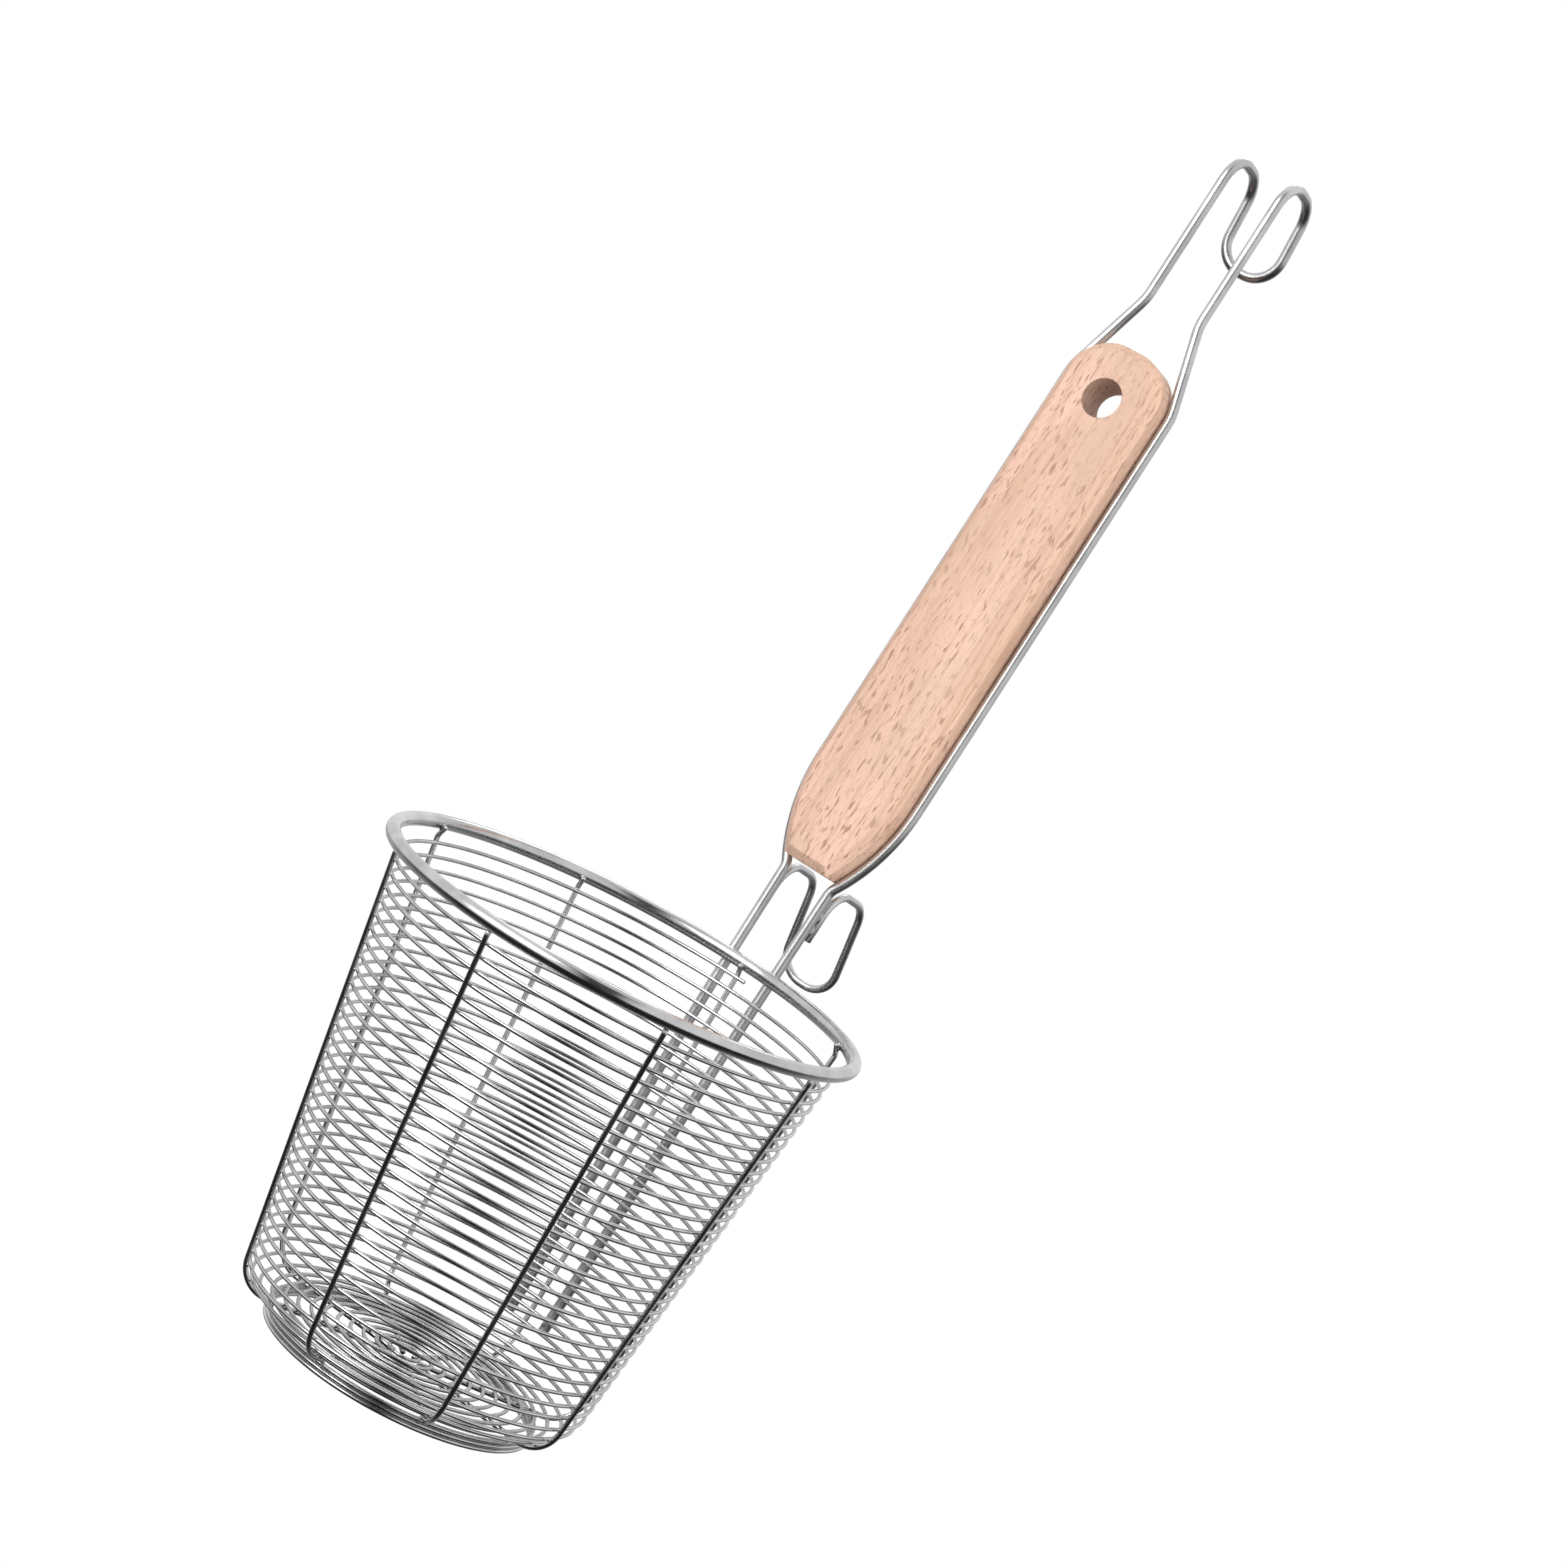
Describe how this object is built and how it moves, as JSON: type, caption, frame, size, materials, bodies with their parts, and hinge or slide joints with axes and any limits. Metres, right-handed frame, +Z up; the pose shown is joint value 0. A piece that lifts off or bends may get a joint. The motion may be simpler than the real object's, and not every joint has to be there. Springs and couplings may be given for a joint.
{
  "type": "frying strainer",
  "caption": "Deep conical spiral-wire strainer basket on a ring foot, with a wooden grip held in a bent wire loop, a pot-rest hook and a hanging hook.",
  "frame": {"origin": "on the axis of the basket, in the plane that the foot stands on", "axes": "+Z up along the basket's axis, +Y towards the handle, +X to the right when seen from the handle's front"},
  "size_m": [0.14, 0.2087, 0.3919],
  "materials": {
    "steel_wire": "bright drawn stainless wire",
    "wood": "bare sanded hardwood with short dark pores"
  },
  "bodies": {
    "root": {"rim_ring": "steel_wire", "spiral_wire": "steel_wire", "rib_1": "steel_wire", "rib_2": "steel_wire", "rib_3": "steel_wire", "rib_4": "steel_wire", "rib_5": "steel_wire", "rib_6": "steel_wire", "rib_7": "steel_wire", "rib_8": "steel_wire", "foot_ring_1": "steel_wire", "foot_ring_2": "steel_wire", "foot_ring_3": "steel_wire", "handle_wire": "steel_wire", "rest_hook": "steel_wire", "wooden_handle": "wood"}
  },
  "joints": []
}
